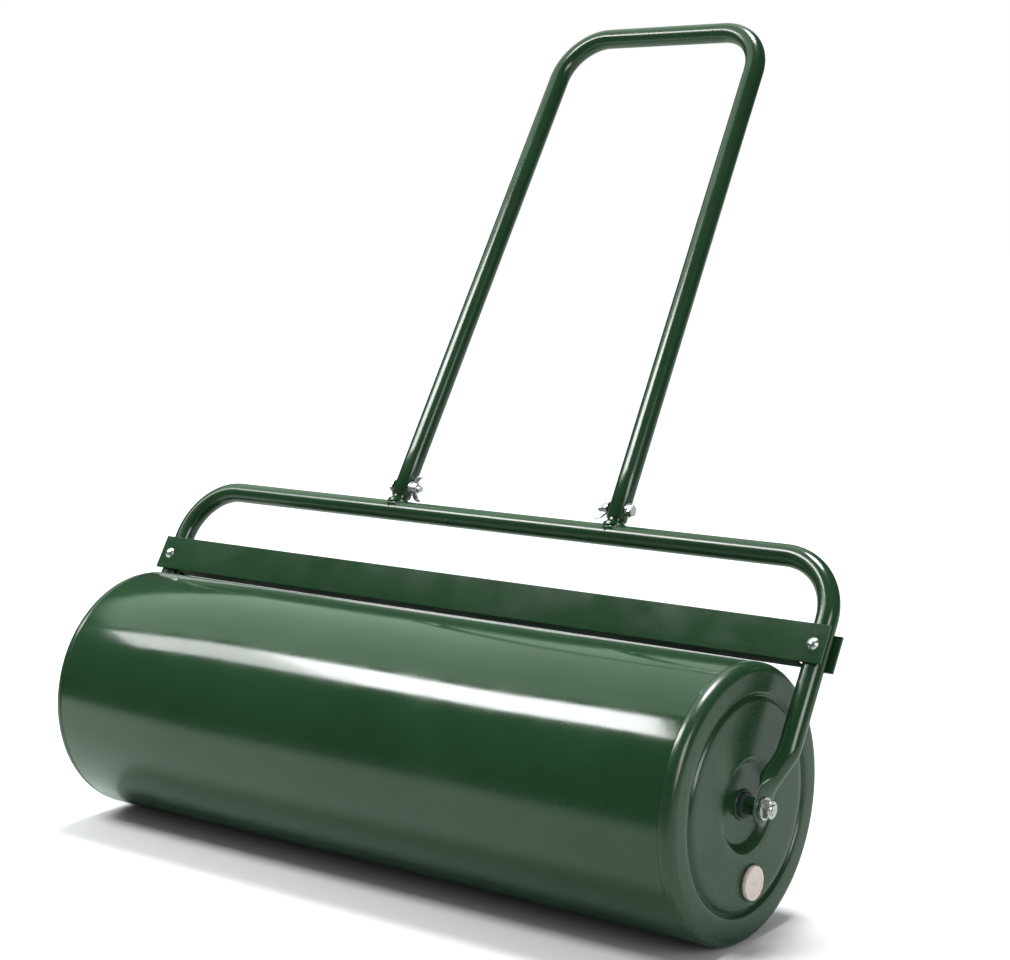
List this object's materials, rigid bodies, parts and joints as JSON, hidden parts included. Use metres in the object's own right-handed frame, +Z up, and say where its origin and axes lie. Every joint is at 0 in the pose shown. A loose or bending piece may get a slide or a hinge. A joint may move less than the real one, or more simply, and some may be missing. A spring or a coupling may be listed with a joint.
{
  "type": "lawn roller",
  "caption": "Walk-behind lawn roller: a water-ballast steel drum turning in a bent tube fork with a scraper bar, and a U-shaped push handle bolted to the fork.",
  "frame": {"origin": "on the ground under the middle of the whole roller's box; the drum's axis is 183.10 mm in front of it and 150 mm up", "axes": "+X along the drum's axle towards the end with the filler plug, +Y back towards the person who pushes, +Z up"},
  "size_m": [1.0018, 0.6662, 1.0008],
  "materials": {
    "green_paint": "glossy dark green enamel",
    "zinc_plate": "bright zinc plate",
    "nylon": "black moulded nylon",
    "plug_plastic": "pale moulded plastic, slightly translucent"
  },
  "bodies": {
    "frame": {"fork_tube": "green_paint", "stub_left": "green_paint", "stub_right": "green_paint", "handle_tube": "green_paint", "handle_bolts": "zinc_plate", "handle_washers": "zinc_plate", "scraper_blade": "green_paint", "clamp_plate_left": "green_paint", "clamp_plate_right": "green_paint", "scraper_bolts": "zinc_plate", "scraper_washers": "zinc_plate", "scraper_nuts": "zinc_plate", "axle_rod": "zinc_plate", "spacer_left": "green_paint", "spacer_right": "green_paint", "axle_washers": "zinc_plate", "axle_nut_left": "zinc_plate", "axle_nut_right": "zinc_plate"},
    "drum": {"drum_shell": "green_paint", "end_cap_left": "green_paint", "end_cap_right": "green_paint", "core_tube": "green_paint", "bush_left": "nylon", "bush_right": "nylon", "filler_neck": "green_paint"},
    "plug": {"filler_plug": "plug_plastic"},
    "wing_left": {"wing_nut_left": "zinc_plate"},
    "wing_right": {"wing_nut_right": "zinc_plate"}
  },
  "joints": [
    {"name": "drum_spin", "type": "hinge", "parent": "frame", "child": "drum", "pos_m": [0, -0.1831, 0.15], "axis": [1, 0, 0], "continuous": true},
    {"name": "plug_pull", "type": "slide", "parent": "drum", "child": "plug", "axis": [1, 0, 0], "range_m": [0, 0.03]},
    {"name": "wing_left_turn", "type": "hinge", "parent": "frame", "child": "wing_left", "pos_m": [-0.14521, -0.02164, 0.41872], "axis": [-0.9998, 0.0114, 0.019], "continuous": true},
    {"name": "wing_right_turn", "type": "hinge", "parent": "frame", "child": "wing_right", "pos_m": [0.18121, -0.02164, 0.41872], "axis": [0.9998, 0.0114, 0.019], "continuous": true}
  ]
}
